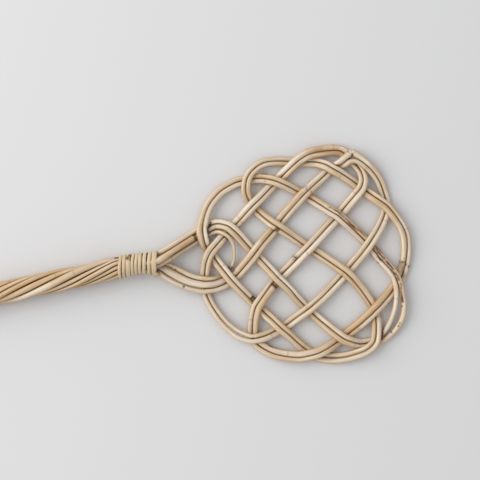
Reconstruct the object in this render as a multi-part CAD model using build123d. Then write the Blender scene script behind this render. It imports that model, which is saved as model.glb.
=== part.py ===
from build123d import *
import math
import os

# Rattan carpet beater, lying on its back. +X runs along the handle to the head, +Z is up.
# All sizes are in millimetres.

# Driving dimensions
head_width = 213.0          # the knot head, across its widest part
cane_dia = 5.0              # round canes of the head and the handle
thin_cane_dia = 3.8         # the small inner loop
pair_gap = 0.2              # between the two canes of a pair
weave_gap = 0.6             # between canes that cross
handle_length = 311.0       # from the neck binding to the sawn butt end
handle_pitch = 200.0        # one full turn of the handle's canes
core_gap = 0.2              # between the rod inside the handle and the canes round it
neck_binding_length = 39.0
peel_dia = 2.2              # cane peel, wound round the bundle
peel_pitch = 3.8
neck_turns = 9
end_turns = 8
binding_gap = 0.3           # between the peel and the canes
end_binding_inset = 12.0    # from the butt end to the first turn
resting_flat = 0.5          # the bindings are worn flat where they lie on the floor
crossing_run = 1.4          # level run past the last cane of a crossing
short_cane_tuck = 3.0       # a filler's end past the start of the neck binding
filler_stub = 4.0           # the filler that shows past the neck binding
held_share = 0.35           # how far into the neck binding the canes keep their places in the ring
fanned_share = 0.85         # how far into it they have their places on the way out
splice_gap = 0.8            # between two canes that meet end to end
min_run = 2.6               # bends closer than this to a crossing's level run are left out
sawn_off = 4.0              # sawn from the handle's canes, so that they end flush with the rod
end_run = 3.0               # straight end of a wound peel
cane_count = 10             # canes round the rod
steps_per_turn = 16         # bends in one turn of a handle cane

# The photograph's frame, in pixels and degrees
HEAD_SPAN_PX = 213.0
AXIS_PX = (119.0, 267.5)    # on the handle's axis, where the neck binding starts
HANDLE_TILT = 12.2
BINDING_TILT = 7.2
pixel = head_width / HEAD_SPAN_PX

# Where the pair crosses itself, in pixels
CROSSINGS_PX = {
    1: (205.3, 289), 2: (231, 279), 3: (255, 253.5), 4: (276.8, 226.8), 5: (303.5, 195), 6: (331, 168),
    7: (348.5, 157.8), 8: (387, 205.8), 9: (368.7, 244), 10: (345.5, 273), 11: (308, 309), 12: (281.6, 328.2),
    13: (252.5, 338.5), 14: (210.7, 252), 15: (231.5, 228.3), 16: (252.7, 206), 17: (277, 181.7),
    18: (297, 162), 19: (361.3, 187.3), 20: (338.4, 216), 21: (308, 248), 22: (278.1, 277.7),
    23: (255.8, 304.8), 24: (313.5, 354.5), 25: (343.5, 338.4), 26: (374.5, 310.5), 27: (398, 284),
    28: (246.5, 180), 29: (374.5, 342), 30: (202.7, 230),
}

# The pair's route from the lower neck to the upper neck: a number is a crossing, and the rest are bends
# in pixels, with the pair's spacing where it opens. The passes go over and under in turn, first over.
ROUTE_PX = [
    (169.2, 277.3), (180, 282.7), (190, 286.2), (199.2, 288.5), 1, (216.2, 287.7), (225.4, 283.8), 2,
    (237.7, 275), (251.5, 258.3), 3, (262.3, 243.8), (273.5, 231), 4, (281.5, 220), (290, 210), 5,
    (309.6, 189.2), (319.6, 180), (327.3, 173), 6, (338, 165.5), 7, (355.8, 158.2), (363, 163),
    (370.4, 169.2), (376.5, 176.2), (380.4, 183), (383.5, 191.5), (385.4, 198), 8, (384.6, 214.6),
    (378, 228.5), 9, (361.2, 254.2), (350.4, 267), 10, (342, 276.5), (329.6, 289.6), (322, 297.3), 11,
    (295, 318.5), (287, 325), 12, (275.4, 332), (267, 335.8), (259.2, 337.8), 13, (246, 337.5),
    (239.2, 334.8), (231.5, 329.5), (223, 321.5), (215.4, 311.5), (210.8, 304), (207.3, 297), 1,
    (204.6, 275.8), (205, 270.4), (205.8, 264.2), (207.3, 258), 14, (213, 249.2), (217, 244.6),
    (223.8, 237), 15, (236.9, 223.5), (247.7, 211.5), 16, (259.2, 200), (272.3, 186.2), 17,
    (281.5, 176.5), (290, 168.5), 18, (300, 158.5), (305.4, 154.8), (311.9, 152), (320.4, 151),
    (329.6, 151), (339.6, 152), 7, (354.6, 165), (358.4, 170), (361, 175), (362.4, 180.5), 19,
    (357.3, 192.7), (352, 198.5), (342, 210.4), 20, (334.2, 220), (329.6, 224.6), (319.6, 235.4), 21,
    (299.6, 256.2), (288.5, 268), 22, (273, 282.5), (263.8, 294.2), 23, (253, 311), (252, 322),
    (251.5, 332), 13, (258.5, 345.5), (262.3, 348), (270, 352.3), (278.5, 355), (290, 356.8),
    (299.6, 357.3), 24, (320.4, 352.7), (330.4, 347.3), (338, 342.3), 25, (348.8, 333.5), (359.5, 325),
    (371.2, 314.2), 26, (379.6, 305.8), (389.6, 295), 27, (402.7, 276), (405.8, 264), (407.2, 255),
    (407.6, 245), (407, 237), (404.2, 228.5), (398.8, 220), (392, 211.5), 8, (384.2, 203.8),
    (375, 197.5), (366.5, 191.5), 19, (350.4, 179.5), (340.4, 173), 6, (325.8, 164.6), (318, 162.3),
    (310.8, 161.5), 18, (280, 160.8), (271.5, 161.2), (265.4, 162.3), (259.2, 165), (254.6, 168.5),
    (250.8, 172.3), (248, 176.5), 28, (245.7, 186), (245.5, 190), (246.5, 195.4), (248.5, 200.8), 16,
    (257.7, 211.3), (270.8, 222.7), 4, (290, 235.6), (297.7, 240.8), (304.6, 245.8), 21, (320.4, 255),
    (335, 264.8), 10, (353.5, 281), (360.4, 289.2), (365.8, 296.5), (370.8, 303.5), 26, (376, 318.8),
    (376.2, 326.5), (375.8, 334.2), 29, (369.5, 347.5), (362.7, 351.8), (352.7, 355),
    (341.2, 357.2), (329.6, 357.6), (322, 356.5), 24, (304.6, 348.8), (297.7, 342.7), (290, 335.3), 12,
    (271.5, 318.8), (261.5, 310.2), 23, (250.8, 299.6), (239.2, 288), 2, (220.8, 266.5),
    (215.4, 259.6), 14, (206, 246), (203.6, 239), 30, (203.5, 223), (205.4, 213.8), (208.5, 206.2),
    (213, 199.2), (220, 191.5), (228.5, 186.2), (236, 182.3), 28, (256, 178.3), (263.8, 178.6),
    (271.5, 180), 17, (290, 187.5), (297.7, 191.5), 5, (309.6, 197.7), (319.6, 204.6), (328.8, 210.4),
    20, (350.4, 226.9), (356.5, 232.3), (364.2, 240), 9, (373.5, 250), (381.2, 259.6), (389.6, 268.8),
    (395, 276.5), 27, (399.8, 292.7), (400.3, 303.5, 7.5), (398.5, 315, 9), (395, 324, 8.5),
    (389.5, 331.5, 7), (383, 338, 6), 29, (365, 344.4), (358, 343.8), (350.4, 341.4), 25,
    (333.5, 331.2), (325.8, 325), (318, 318.6), 11, (297.7, 298.6), (290, 290), 22, (267, 266.3), 3,
    (250.8, 248.5), (243.8, 240.8), (237.7, 233.8), 15, (227, 225), (220, 223.5), (213, 224.2), 30,
    (195.4, 233.5), (185, 239.8), (172, 248.2),
]

# Level runs of the slanted crossings, in pixels: the run before a pass is first, the run after it second
LEVEL_RUNS_PX = {
    6: (None, 8), 7: (5, 20), 8: (14, 10), 19: (8, 15), 20: (8, 15), 21: (7, None), 27: (None, 16),
    30: (9, 11), 31: (10, 14), 34: (15, 9), 41: (7, 14), 42: (16, None), 46: (None, 4.5),
    47: (11.5, None), 53: (11, 9), 54: (8, 12),
}

# Passes at which a new cane starts, on the left and the right of the way along the route, and how far
# past the crossing it does, in pixels
LEFT_SPLICES_PX = [(7, 4.0), (24, 7.5), (60, 6.5)]
RIGHT_SPLICES_PX = [(16, -7.0), (37, -4.5), (44, 8.5)]

# The thin inner loop, from the lower neck to the upper neck, in pixels: each bend has its level, which is
# 1 over the pair, -1 under it, or between
INNER_LOOP_PX = [
    (169.2, 264.5, 0.5), (176, 267.8, 0.8), (184.6, 272.3, 1), (192.3, 276, 1), (199.2, 278.3, 1),
    (206, 279.3, 1.1), (212, 278.8, 0.9), (217, 277.6, -0.1), (221, 275.6, -1.1), (228.5, 270, -1.1),
    (231.5, 266.5, -0.9), (233.6, 261, -0.5), (234.6, 253, 0.1), (233.5, 244, 0.9), (229.5, 237.4, 1.3),
    (223, 233, 1.3), (217.5, 231.6, 0.3), (212.5, 233.3, -0.9), (207.5, 236.2, -1), (199.5, 240.6, -1),
    (190, 246.8, -1), (180, 253, -0.8), (170, 259.5, -0.3),
]

# The long filler that lies on the upper neck and stops short of the weave, in pixels and in cane diameters
# above the floor
LONG_FILLER_PX = [(169.5, 253.6, 4.08), (180, 246.9, 3.38), (188, 241.3, 2.66), (195.2, 236.3, 2.02)]

# Where each cane of the bundle leaves the neck binding, across and above the bundle's middle, as shares
# of the radius that the canes lie on, in order round the rod
EXIT_SHARES = {
    "upper_right": (0.96, -0.02), "upper_left": (0.46, 0.36), "filler_1": (0.26, 0.96),
    "loop_end": (-0.14, 0.58),
    "stub": (-0.81, 0.54), "lower_right": (-0.99, -0.07), "lower_left": (-0.34, -0.5),
    "loop_start": (0.23, -0.6), "filler_2": None, "filler_3": None,
}

# Sizes that follow
spacing = cane_dia + pair_gap
rise = (cane_dia + weave_gap) / 2
weave_height = cane_dia / 2 + rise
packed_radius = (cane_dia + pair_gap / 2) / (2 * math.sin(math.pi / cane_count))
lay_angle = math.atan(2 * math.pi * packed_radius / handle_pitch)
bundle_radius = packed_radius / math.cos(lay_angle)
core_radius = bundle_radius * math.cos(math.pi / steps_per_turn) - cane_dia / 2 - core_gap
peel_radius = bundle_radius + cane_dia / 2 + binding_gap + peel_dia / 2
axis_height = peel_radius + peel_dia / 2 - resting_flat


def place(point, axis=AXIS_PX):
    """A pixel of the photograph as X and Y of the part."""
    tilt = math.radians(HANDLE_TILT)
    across = (point[0] - axis[0]) * pixel
    up = (axis[1] - point[1]) * pixel
    return (across * math.cos(tilt) + up * math.sin(tilt), up * math.cos(tilt) - across * math.sin(tilt))


def turn_of(a, b, c):
    """The angle in degrees by which a route turns at b."""
    return (b - a).get_angle(c - b)


# The pair's plan
plan = []
for stop in ROUTE_PX:
    if isinstance(stop, int):
        plan.append((Vector(*place(CROSSINGS_PX[stop])), spacing, stop))
    else:
        opened = stop[2] * pixel if len(stop) > 2 else spacing
        plan.append((Vector(*place(stop)), opened, None))
stations = [0.0]
for before, after in zip(plan, plan[1:]):
    stations.append(stations[-1] + (after[0] - before[0]).length)
visits = [i for i, stop in enumerate(plan) if stop[2]]


def heading(i):
    return (plan[min(i + 1, len(plan) - 1)][0] - plan[max(i - 1, 0)][0]).normalized()


# Each pass has its station, its level and its level runs before and after
passes = []
for order, i in enumerate(visits, start=1):
    first, second = [j for j in visits if plan[j][2] == plan[i][2]]
    cosine = abs(heading(first).dot(heading(second)))
    run = spacing / 2 * (1 + cosine) / math.sqrt(1 - cosine * cosine) + crossing_run
    given = LEVEL_RUNS_PX.get(order, (None, None))
    before, after = [run if value is None else value * pixel for value in given]
    passes.append((stations[i], 1 if order % 2 else -1, before, after))


def level(station):
    """The height of the pair's middle over the weave's middle plane."""
    if station <= passes[0][0]:
        return passes[0][1] * rise
    for (s0, side, _, after), (s1, other, before, _) in zip(passes, passes[1:]):
        if station <= s1:
            share = (station - s0 - after) / (s1 - before - s0 - after)
            return rise * (side + (other - side) * min(max(share, 0), 1))
    return passes[-1][1] * rise


def on_plan(station):
    """The plan point and the pair's spacing at a station."""
    i = max(j for j in range(len(plan) - 1) if stations[j] <= station)
    share = (station - stations[i]) / (stations[i + 1] - stations[i])
    (start, opened, _), (end, closed, _) = plan[i], plan[i + 1]
    return start + (end - start) * share, opened + (closed - opened) * share


def bend_stations():
    """The stations at which a cane of the pair bends, in plan or in height."""
    found = []
    for station, _, before, after in passes:
        found += [station - before, station, station + after]
    for i, stop in enumerate(plan):
        if not stop[2] and all(abs(stations[i] - other) > min_run for other in found):
            found.append(stations[i])
    return sorted(found)


def side_route(side):
    """The bends of the pair's left (1) or right (-1) cane, as stations and points."""
    bends = bend_stations()
    middle = [on_plan(station) for station in bends]
    route = []
    for i, station in enumerate(bends):
        point, opened = middle[i]
        before = point - middle[i - 1][0] if i else middle[1][0] - point
        after = middle[i + 1][0] - point if i + 1 < len(bends) else before
        ahead = (before.normalized() + after.normalized()).normalized()
        reach = side * opened / 2 / max(ahead.dot(before.normalized()), 0.5)
        height = weave_height + level(station)
        route.append((station, Vector(point.X - ahead.Y * reach, point.Y + ahead.X * reach, height)))
    return route


def without_straights(points, least_turn=1.5):
    """The points without those at which the route hardly turns."""
    kept = [points[0]]
    for i in range(1, len(points) - 1):
        if turn_of(kept[-1], points[i], points[i + 1]) > least_turn:
            kept.append(points[i])
    return kept + [points[-1]]


def part_of(route, start, end):
    """The bends of a route between two stations, with an end point at each."""
    def at(station):
        for (s0, p0), (s1, p1) in zip(route, route[1:]):
            if s0 <= station <= s1:
                return p0 + (p1 - p0) * ((station - s0) / (s1 - s0))
        return route[0][1] if station < route[0][0] else route[-1][1]
    inner = [p for s, p in route if start + min_run / 2 < s < end - min_run / 2]
    return [at(start)] + inner + [at(end)]


def tube(points, diameter):
    """A round cane along straight runs that tangent arcs join."""
    points = without_straights(points)
    radii = []
    for a, b, c in zip(points, points[1:], points[2:]):
        half_turn = math.radians(turn_of(a, b, c)) / 2
        radii.append(0.45 * min((b - a).length, (c - b).length) / math.tan(half_turn))
    path = FilletPolyline(*points, radius=radii)
    section = Plane(origin=path @ 0, z_dir=path % 0) * Circle(diameter / 2)
    return sweep(section, path=path), min(radii), path.length


# The handle's bundle
def in_bundle(station, across, above):
    """A point beside the bundle's middle: the handle is straight, and the neck binding leans a little."""
    lean = math.radians(HANDLE_TILT - BINDING_TILT) if station > 0 else 0
    return Vector(
        station * math.cos(lean) + across * math.sin(lean),
        across * math.cos(lean) - station * math.sin(lean),
        axis_height + above,
    )


def ring_points(order, start):
    """A handle cane's bends from the butt end to the neck binding."""
    step = handle_pitch / steps_per_turn
    reach = handle_length + sawn_off
    count = round((reach + start) / step)
    points = []
    for i in range(count + 1):
        station = -reach + (reach + start) * i / count
        angle = 2 * math.pi * (order / cane_count - station / handle_pitch)
        points.append(in_bundle(station, bundle_radius * math.cos(angle), bundle_radius * math.sin(angle)))
    return points


names = list(EXIT_SHARES)


def slot_angle(name):
    return 2 * math.pi * names.index(name) / cane_count


def tail(name):
    """A bundle cane from the butt end to its way out of the neck binding."""
    angle = slot_angle(name)
    held = [(bundle_radius * math.cos(angle), bundle_radius * math.sin(angle))]
    across, above = [bundle_radius * share for share in EXIT_SHARES[name]]
    points = ring_points(names.index(name), -short_cane_tuck)
    points.append(in_bundle(short_cane_tuck, *held[0]))
    points.append(in_bundle(neck_binding_length * held_share, *held[0]))
    points.append(in_bundle(neck_binding_length * fanned_share, across, above))
    points.append(in_bundle(neck_binding_length, across, above))
    return points


def sloped(start_height, route, level_station):
    """A route whose height eases from the neck binding's to its own by the given station."""
    first = route[0][0]
    eased = []
    for station, point in route:
        share = min((station - first + cane_dia) / (level_station - first + cane_dia), 1)
        height = start_height + (point.Z - start_height) * share
        eased.append((station, Vector(point.X, point.Y, height)))
    return eased


solids = {}
report = []
offcut = Box(handle_length, handle_length, handle_length, align=(Align.MAX, Align.CENTER, Align.CENTER))


def add_cane(name, points, diameter=cane_dia):
    solid, least_radius, length = tube(points, diameter)
    share = solid.volume / (length * math.pi * diameter ** 2 / 4)
    if min(point.X for point in points) < -handle_length:
        solid = solid - Pos(-handle_length, 0, axis_height) * offcut
    solids[name] = solid
    report.append(f"{name}: length {length:.0f}, least radius {least_radius:.1f}, volume share {share:.4f}")


def splice_stations(splices):
    return [passes[order - 1][0] + shift * pixel for order, shift in splices]


def add_side(word, side, splices, first_tail, last_tail):
    """The canes of one side of the pair, with the first and the last run on into the handle."""
    route = side_route(side)
    start_height = tail(first_tail)[-1].Z
    level_start = passes[0][0] - passes[0][2]
    lead = sloped(start_height, route, level_start)
    back = [(-s, p) for s, p in reversed(route)]
    end_height = tail(last_tail)[-1].Z
    level_end = -(passes[-1][0] + passes[-1][3])
    back = sloped(end_height, back, level_end)
    final = [(-s, p) for s, p in reversed(back)]
    middle = (passes[0][0] + passes[-1][0]) / 2
    route = [bend for bend in lead if bend[0] < middle] + [bend for bend in final if bend[0] >= middle]
    cuts = splice_stations(splices)
    starts = [route[0][0]] + [cut + splice_gap / 2 for cut in cuts]
    ends = [cut - splice_gap / 2 for cut in cuts] + [route[-1][0]]
    for number, (start, end) in enumerate(zip(starts, ends), start=1):
        points = part_of(route, start, end)
        if number == 1:
            points = tail(first_tail) + points
        if number == len(starts):
            points = points + tail(last_tail)[::-1]
        add_cane(f"cane_{word}_{number}", points)


add_side("left", 1, LEFT_SPLICES_PX, "lower_left", "upper_left")
add_side("right", -1, RIGHT_SPLICES_PX, "lower_right", "upper_right")


def inner_loop():
    """The thin cane: both its ends run into the handle."""
    loop = [Vector(*place((x, y)), weave_height + rise * height) for x, y, height in INNER_LOOP_PX]
    start, end = tail("loop_start"), tail("loop_end")
    first, second = start[-1].Z, loop[3].Z
    for i in range(3):
        loop[i] = Vector(loop[i].X, loop[i].Y, first + (second - first) * (i + 1) / 4)
    last, before = end[-1].Z, loop[-4].Z
    for i in range(3):
        loop[-1 - i] = Vector(loop[-1 - i].X, loop[-1 - i].Y, last + (before - last) * (i + 1) / 4)
    return start + loop + end[::-1]


add_cane("cane_inner_loop", inner_loop(), thin_cane_dia)


def filler(name, end):
    """A short cane of the handle that stops at the neck binding."""
    if EXIT_SHARES[name]:
        points = tail(name)
        points[-1] = points[-1] + (points[-1] - points[-2]).normalized() * end
        return points
    angle = slot_angle(name)
    held = in_bundle(end, bundle_radius * math.cos(angle), bundle_radius * math.sin(angle))
    return ring_points(names.index(name), -short_cane_tuck) + [held]


long_filler = tail("filler_1") + [Vector(*place((x, y)), cane_dia * high) for x, y, high in LONG_FILLER_PX]
add_cane("filler_cane_1", long_filler)
add_cane("filler_cane_2", filler("filler_2", short_cane_tuck))
add_cane("filler_cane_3", filler("filler_3", short_cane_tuck))
add_cane("filler_cane_4", filler("stub", filler_stub))

rod = Plane(origin=(-handle_length, 0, axis_height), z_dir=(1, 0, 0)) * Cylinder(
    core_radius, handle_length, align=(Align.CENTER, Align.CENTER, Align.MIN)
)
solids["core_stick"] = rod


def helix_point(share, plane):
    """A point of the winding's middle line and its direction, after so many turns."""
    angle = 2 * math.pi * share
    lead = peel_pitch / (2 * math.pi)
    point = Vector(peel_radius * math.cos(angle), peel_radius * math.sin(angle), peel_pitch * share)
    ahead = Vector(-peel_radius * math.sin(angle), peel_radius * math.cos(angle), lead).normalized()
    return plane.from_local_coords(point), plane.from_local_coords(ahead) - plane.origin


def biarc(a, ta, b, tb):
    """Two tangent arcs from a to b that leave and arrive along ta and tb."""
    chord = b - a
    both = ta + tb
    rest = 4 - both.dot(both)
    along = chord.dot(both)
    reach = (math.sqrt(along * along + rest * chord.dot(chord)) - along) / rest
    joint = (a + ta * reach + b - tb * reach) * 0.5
    ahead = (b - tb * reach) - (a + ta * reach)
    return [Edge.make_tangent_arc(a, ta, joint), Edge.make_tangent_arc(joint, ahead.normalized(), b)]


def winding(name, plane, turns):
    """Cane peel wound round the bundle, as one unbroken tube with straight ends."""
    quarters = [helix_point(i / 4, plane) for i in range(4 * turns + 1)]
    (first, t_first), (last, t_last) = quarters[0], quarters[-1]
    edges = [Edge.make_line(first - t_first * end_run, first)]
    for (a, ta), (b, tb) in zip(quarters, quarters[1:]):
        edges += biarc(a, ta, b, tb)
    edges.append(Edge.make_line(last, last + t_last * end_run))
    path = Wire(edges)
    section = Plane(origin=path @ 0, z_dir=path % 0) * Circle(peel_dia / 2)
    coil = sweep(section, path=path)
    samples = [helix_point(i / 48, plane)[0] for i in range(48 * turns + 1)]
    least = min(
        (samples[i] - samples[j]).length
        for i in range(0, len(samples), 6)
        for j in range(i + 24, len(samples))
    )
    share = coil.volume / (path.length * math.pi * peel_dia ** 2 / 4)
    report.append(f"{name}: least gap to itself {least - peel_dia:.2f}, volume share {share:.4f}")
    floor = Box(
        handle_length, handle_length, peel_dia, align=(Align.CENTER, Align.CENTER, Align.MAX)
    )
    solids[name] = coil - Pos(plane.origin.X, plane.origin.Y, 0) * floor


slack = (neck_binding_length - neck_turns * peel_pitch) / 2
neck_start = in_bundle(slack, 0, 0)
neck_ahead = in_bundle(neck_binding_length, 0, 0) - in_bundle(slack, 0, 0)
winding("neck_binding", Plane(origin=neck_start, x_dir=(0, 0, 1), z_dir=neck_ahead), neck_turns)
end_start = in_bundle(end_binding_inset - handle_length, 0, 0)
winding("end_binding", Plane(origin=end_start, x_dir=(0, 0, 1), z_dir=(1, 0, 0)), end_turns)

# The origin is under the middle of the whole part
low = Vector(*[min(getattr(s.bounding_box().min, k) for s in solids.values()) for k in "XYZ"])
high = Vector(*[max(getattr(s.bounding_box().max, k) for s in solids.values()) for k in "XYZ"])
shift = Pos(-(low.X + high.X) / 2, -(low.Y + high.Y) / 2, 0)
os.makedirs("parts", exist_ok=True)
for name, solid in solids.items():
    export_step(shift * solid, f"parts/{name}.step")
print("\n".join(report))
print(f"part: {high - low}, origin moved by {shift.position}")
print(f"handle: lay {math.degrees(lay_angle):.1f} degrees, bundle radius {bundle_radius:.2f}")
print(f"handle: axis {axis_height:.2f} up")
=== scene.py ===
import bpy
import math
import numpy as np
from mathutils import Matrix, Vector
from mathutils.kdtree import KDTree


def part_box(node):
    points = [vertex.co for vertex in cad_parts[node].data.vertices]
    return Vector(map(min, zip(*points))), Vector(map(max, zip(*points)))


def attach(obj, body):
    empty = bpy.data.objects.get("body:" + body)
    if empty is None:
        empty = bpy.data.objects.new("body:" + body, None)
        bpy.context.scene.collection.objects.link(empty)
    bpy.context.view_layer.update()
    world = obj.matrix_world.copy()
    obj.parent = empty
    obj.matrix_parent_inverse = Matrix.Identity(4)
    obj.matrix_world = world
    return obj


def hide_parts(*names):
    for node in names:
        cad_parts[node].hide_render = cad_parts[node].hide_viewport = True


bl_info = {
    "name": "Rattan carpet beater",
    "version": (1, 0, 0),
    "blender": (4, 5, 0),
    "location": "3D View > Sidebar > Beater",
    "description": "The canes, the bindings and the stage of a woven rattan carpet beater",
    "category": "Add Mesh",
}

MM = 0.001

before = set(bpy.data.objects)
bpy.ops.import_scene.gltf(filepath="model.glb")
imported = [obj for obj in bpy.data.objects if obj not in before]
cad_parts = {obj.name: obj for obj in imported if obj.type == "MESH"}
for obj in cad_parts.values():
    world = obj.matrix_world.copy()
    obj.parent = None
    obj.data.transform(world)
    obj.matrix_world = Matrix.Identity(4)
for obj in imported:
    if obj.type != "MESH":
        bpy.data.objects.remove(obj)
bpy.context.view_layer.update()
ROD_LOW, ROD_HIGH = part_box("core_stick")
BUTT_X = ROD_LOW.x
AXIS_Y = (ROD_LOW.y + ROD_HIGH.y) / 2
AXIS_HEIGHT = (ROD_LOW.z + ROD_HIGH.z) / 2
HANDLE = 0.311      # from the butt end to the neck binding
NECK_X = BUTT_X + HANDLE

# The camera's frame, in pixels of a 480 by 480 view: one pixel is one millimetre at the weave
AXIS_PX = (119.0, 267.5)
HANDLE_TILT = math.radians(12.2)
BINDING_LEAN = math.radians(5.0)
VIEW_PX = 480
LENS, SENSOR = 85, 36

# The stage: the key light stands far to the left, and its size softens the shadows
KEY_FROM = (-1.95, 0.55, 1.3)
KEY_SIZE, KEY_POWER, KEY_COLOUR = 2.6, 52.0, (1.0, 0.975, 0.94)
ROOM_COLOUR, ROOM_STRENGTH = (1.0, 0.985, 0.96, 1), 0.62

DRAWN_CANE = 5 * MM         # the pair's cane that the tables of diameters are drawn for
THICKEST = 6.6              # the diameter in millimetres for which the weave lies on the floor
SUNK = 0.3 * MM             # how much lower it lies, because few canes are that thick below
BUNDLE_RADIUS = 11.0        # holds the handle's canes, in millimetres
HELD_RADIUS = 10.6          # holds them under the neck binding
BUNDLE_STEP = 10 * MM       # between a bundle cane's bends
EASE_LEAD = 5 * MM          # a cane's height starts to ease this far inside the neck binding
SIDES = 18                  # vertices round a cane
RING_STEP = 1.3 * MM        # between its rings
BEND_SPACE = 2.6 * MM       # between the closest bends of a route
LEVEL_SPARE = 1.4 * MM      # what a level run has over the crossing itself
SPLICE_GAP = 0.5 * MM       # from the place of a splice to each of the two ends
SHADE_AND_DUST_GAP = 1.8 * MM         # gaps between canes that are narrower get painted shade and dust
SEARCH_REACH = 9 * MM       # how far off a neighbour's middle is looked for
SCAR_OFF = 2.6 * MM         # a scar marks the canes whose middle is no farther away
CUT_WIDTH, CUT_RIM, CUT_MIDDLE = 0.9, 0.25, 0.2     # a cut's share of the width, and how proud it stands

# Uneven growth: the share of the thickness and the run it wanders over, and the same for the line itself,
# the roundness, and how much a joint and a scar swell
THICK_WANDER, THICK_RUN = 0.03, 0.11
LINE_WANDER, LINE_RUN = 0.12 * MM, 0.05
OVAL, OVAL_RUN = 0.015, 0.12
JOINT_SWELL, JOINT_REACH, SCAR_SWELL = 0.05, 1.3, 0.09

# A bundle cane's way through the neck binding: the station in millimetres, the shares of its place in the
# bundle and of its way out across and above, and a shift across in millimetres
NECK_WAY = [(12, 0.75, 0.1, 0.1, 0), (24, 0, 0.72, 0.72, 0.8), (32, 0, 0.92, 0.9, 0.4), (39, 0, 1, 1, 0)]

# The peel: steps in a turn, how much wider a turn is than its table says and how unevenly it lies in
# millimetres, how deep its inside lies and how round its outside is in thicknesses, the share of a turn
# that runs straight on each side of its top, and the share in which its ends dive under, with their depth
PEEL_STEPS, PEEL_SPARE, PEEL_WANDER = 72, 0.15, 0.13
PEEL_INSIDE, PEEL_ROUND = 1.5, 0.35
STRAIGHT, TUCK_RUN, TUCK_DEPTH = 0.25, 0.3, 1.2

# Where the pair crosses itself
CROSSINGS_PX = {
    1: (205.3, 289), 2: (231, 279), 3: (255, 253.5), 4: (276.8, 226.8), 5: (303.5, 195), 6: (331, 168),
    7: (348.5, 157.8), 8: (387, 205.8), 9: (368.7, 244), 10: (345.5, 273), 11: (308, 309), 12: (281.6, 328.2),
    13: (252.5, 338.5), 14: (210.7, 252), 15: (231.5, 228.3), 16: (252.7, 206), 17: (277, 181.7),
    18: (297, 162), 19: (361.3, 187.3), 20: (338.4, 216), 21: (308, 248), 22: (278.1, 277.7),
    23: (256.4, 305.4), 24: (313.5, 354.5), 25: (343.5, 338.4), 26: (374.5, 310.5), 27: (398, 284),
    28: (246.5, 180), 29: (374.5, 342), 30: (202.7, 230),
}

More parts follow.
